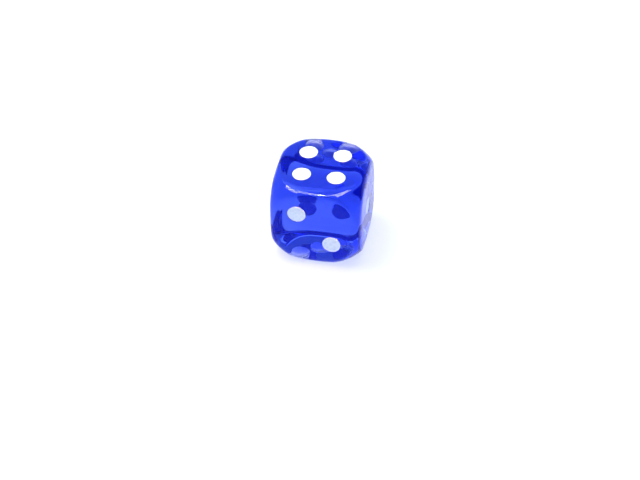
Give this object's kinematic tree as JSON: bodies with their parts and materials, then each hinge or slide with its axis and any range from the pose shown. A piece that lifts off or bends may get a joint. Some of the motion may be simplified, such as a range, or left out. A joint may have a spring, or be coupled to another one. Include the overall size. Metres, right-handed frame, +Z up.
{
  "type": "gaming die",
  "caption": "Cube-shaped gaming die of transparent blue acrylic, with ball-rounded corners and white painted pips.",
  "frame": {"origin": "middle of the flat face that the die stands on, which is the three", "axes": "+Z up through the four, -Y towards the viewer through the two, +X to the right through the one"},
  "size_m": [0.016, 0.016, 0.016],
  "materials": {
    "blue_acrylic": "polished, transparent, with fine handling scratches",
    "white_paint": "semi-gloss white enamel, slightly dished"
  },
  "bodies": {
    "root": {"die_body": "blue_acrylic", "pip_one_centre": "white_paint", "pip_two_upper_left": "white_paint", "pip_two_lower_right": "white_paint", "pip_three_centre": "white_paint", "pip_three_upper_left": "white_paint", "pip_three_lower_right": "white_paint", "pip_four_upper_left": "white_paint", "pip_four_upper_right": "white_paint", "pip_four_lower_left": "white_paint", "pip_four_lower_right": "white_paint", "pip_five_centre": "white_paint", "pip_five_upper_left": "white_paint", "pip_five_upper_right": "white_paint", "pip_five_lower_left": "white_paint", "pip_five_lower_right": "white_paint", "pip_six_upper_left": "white_paint", "pip_six_upper_right": "white_paint", "pip_six_lower_left": "white_paint", "pip_six_lower_right": "white_paint", "pip_six_middle_left": "white_paint", "pip_six_middle_right": "white_paint"}
  },
  "joints": []
}
